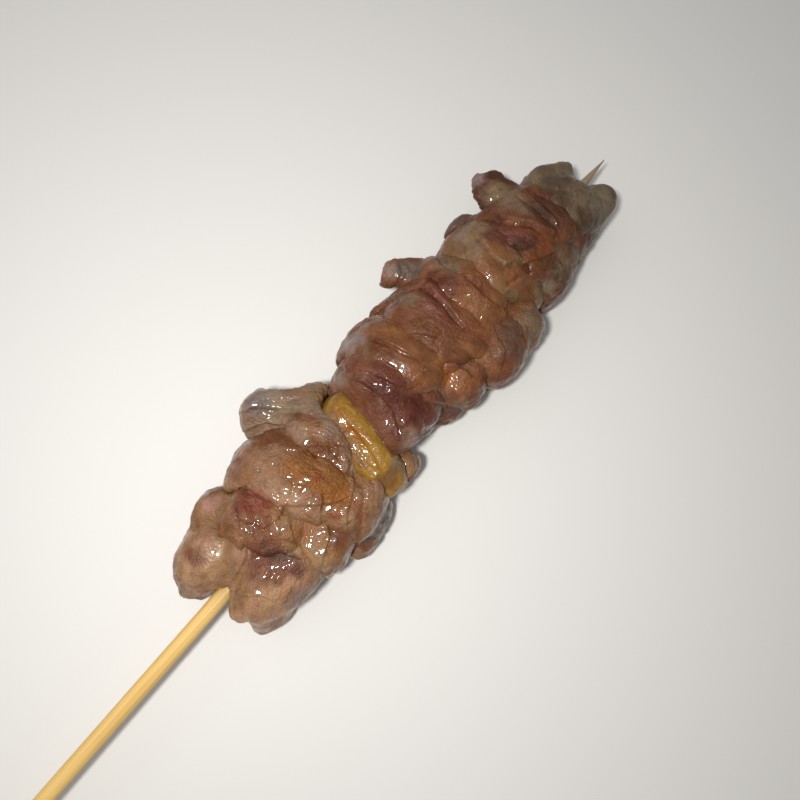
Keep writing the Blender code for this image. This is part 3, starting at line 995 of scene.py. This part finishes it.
def pepper_piece():
    piece = even_skin("pepper_piece", "pepper", PEPPER_VOXEL, PEPPER_SMOOTHING)
    points = points_of(piece)
    blisters = noise_at(points, 1.2 * MM, 202)
    rise = 0.55 * noise_at(points, 5.0 * MM, 201) + 0.22 * noise_at(points, 2.2 * MM, 206) + 0.14 * blisters
    rise += 0.10 * noise_at(points, 0.7 * MM, 207) - 0.5
    for groove in PEPPER_GROOVES.values():
        far, side = distance_to(points, [pepper_seen(*pixel) for pixel in groove.pixels])
        rise += abs(groove.deep) * edge_profile(far, side * np.sign(groove.deep), groove.wide * MM)
    pressed = directions_of(piece) * ALONG_STICK * PEPPER_PRESS
    move_points(piece, points + pressed + directions_of(piece) * (rise * MM)[:, None])
    piece.data.shade_smooth()
    points = points_of(piece)
    cloud = noise_at(points, 4 * MM, 203) + 0.5 * noise_at(points, 1.5 * MM, 204)
    paint = blend_colour(np.tile(PEPPER_YELLOW, (len(points), 1)), PEPPER_PALE, soft_step(cloud, -0.1, 0.9))
    edge = noise_at(points, 2 * MM, 205)
    for stain in PEPPER_STAINS.values():
        route = [pepper_seen(*pixel) for pixel in stain.pixels]
        paint = stained(paint, points, route, stain, PEPPER_ROUGH_EDGE * edge)
    set_cooked(piece, paint)
    return piece


def pepper_material():
    recipe = Recipe("grilled_pepper")
    cooked = recipe.painted("cooked")
    mottle = recipe.noise((1.8 * MM,) * 3, (0, 0, 0), 3.0, 0.6)
    speck = recipe.noise((0.6 * MM,) * 3)
    deep = recipe.mix(1.0, cooked, PEPPER_TINT, "MULTIPLY")
    return recipe.shade(
        Base_Color=recipe.mix(mottle.between(0.42, 0.72) * 0.6, cooked, deep),
        Roughness=0.34 + mottle * 0.14,
        Specular_IOR_Level=0.3,
        Normal=recipe.bump(mottle * 0.7 + speck * 0.5, 0.4 * MM),
        IOR=1.45,
        Subsurface_Weight=0.25,
        Subsurface_Radius=(1.0, 0.7, 0.2),
        Subsurface_Scale=1.6 * MM,
        Coat_Weight=0.15 + mottle * 0.5,
        Coat_Roughness=0.07,
    )


pepper = pepper_piece()
pepper.data.materials.clear()
pepper.data.materials.append(pepper_material())
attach(pepper, "root")
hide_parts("pepper")
print("pepper has", len(pepper.data.polygons), "faces")

# %% [markdown]
# ## Bamboo stick
# The stick is turned round from split bamboo, so long fibres run its whole length, pale with thin
# darker lines. A profile is spun round the stick's middle line, and the sharpened end is scorched.

# %% Stick
STICK_LENGTH = 250.0
STICK_RADIUS = 2.0
STICK_ROUND = 40
STICK_RINGS = 90
TAPER = 20.0
TAPER_RINGS = 16
SHOULDER = 8.5
SHOULDER_RADIUS = 1.05
POINT_RADIUS = 0.12
END_ROUNDING = 0.6
END_RADIUS = 1.5
# The point is scorched from the first of these distances on, and fully within the second
SCORCH_STARTS = 20
SCORCH_FULL = 9
# The stick is a little browned where it leaves the food
BROWNED, BROWNED_AT, BROWNED_WIDE = 0.35, -1.0, 3.0


def stick_radius(along):
    """The stick's radius at a place along it, in millimetres."""
    to_point = POINT_ALONG - along
    places = [0, SHOULDER, TAPER, STICK_LENGTH - END_ROUNDING, STICK_LENGTH]
    radii = [POINT_RADIUS, SHOULDER_RADIUS, STICK_RADIUS, STICK_RADIUS, END_RADIUS]
    return float(np.interp(to_point, places, radii))


def on_stick(along, left):
    return place(along, left, 0) + Vector((0, 0, STICK_UP))


def bamboo_stick():
    bm = bmesh.new()
    stops = list(np.linspace(POINT_ALONG - STICK_LENGTH, POINT_ALONG - TAPER, STICK_RINGS))
    stops += list(np.linspace(POINT_ALONG - TAPER, POINT_ALONG, TAPER_RINGS))[1:]
    stops.insert(1, stops[0] + END_ROUNDING)
    outline = [bm.verts.new(on_stick(stops[0], 0))]
    for along in stops:
        outline.append(bm.verts.new(on_stick(along, stick_radius(along))))
    outline.append(bm.verts.new(on_stick(stops[-1], 0)))
    edges = [bm.edges.new(pair) for pair in zip(outline, outline[1:])]
    whole_turn = {"cent": on_stick(0, 0), "axis": (1, 0, 0), "angle": tau, "steps": STICK_ROUND}
    bmesh.ops.spin(bm, geom=outline + edges, use_merge=True, **whole_turn)
    bmesh.ops.remove_doubles(bm, verts=bm.verts, dist=0.01 * MM)
    bmesh.ops.recalc_face_normals(bm, faces=bm.faces)
    mesh = bpy.data.meshes.new("bamboo_stick")
    bm.to_mesh(mesh)
    bm.free()
    piece = add_object("bamboo_stick", mesh)
    mesh.shade_smooth()
    points = points_of(piece)
    along = (points[:, 0] - FOOD_START.x) / MM
    near_food = BROWNED * np.exp(-(((along - BROWNED_AT) / BROWNED_WIDE) ** 2))
    burnt = soft_step(along, POINT_ALONG - SCORCH_STARTS, POINT_ALONG - SCORCH_FULL)
    set_values(piece, "scorch", np.clip(burnt + near_food, 0, 1))
    return piece


def bamboo_material():
    recipe = Recipe("bamboo")
    fibre = recipe.noise((28 * MM, 0.32 * MM, 0.32 * MM), (0, 0, 0), 3.0, 0.6)
    vein = recipe.noise((60 * MM, 0.7 * MM, 0.7 * MM), (0, 0, 0), 1.0, 0.5)
    scorch = recipe.painted("scorch", "Fac")
    pale = (*colour(228, 190, 116), 1)
    gold = (*colour(204, 156, 80), 1)
    brown = (*colour(126, 112, 98), 1)
    wood = recipe.mix(fibre.between(0.45, 0.72) * 0.6, pale, gold)
    wood = recipe.mix(vein.between(0.6, 0.7) * 0.35, wood, gold)
    return recipe.shade(
        Base_Color=recipe.mix(scorch * 0.85, wood, brown),
        Roughness=0.42 + fibre * 0.2,
        Normal=recipe.bump(fibre * 0.8 + vein * 0.4, 0.12 * MM),
        Subsurface_Weight=0.1,
        Subsurface_Radius=(1.0, 0.6, 0.3),
        Subsurface_Scale=1.0 * MM,
    )


stick = bamboo_stick()
stick.data.materials.append(bamboo_material())
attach(stick, "root")
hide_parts("skewer")
print("stick has", len(stick.data.polygons), "faces")
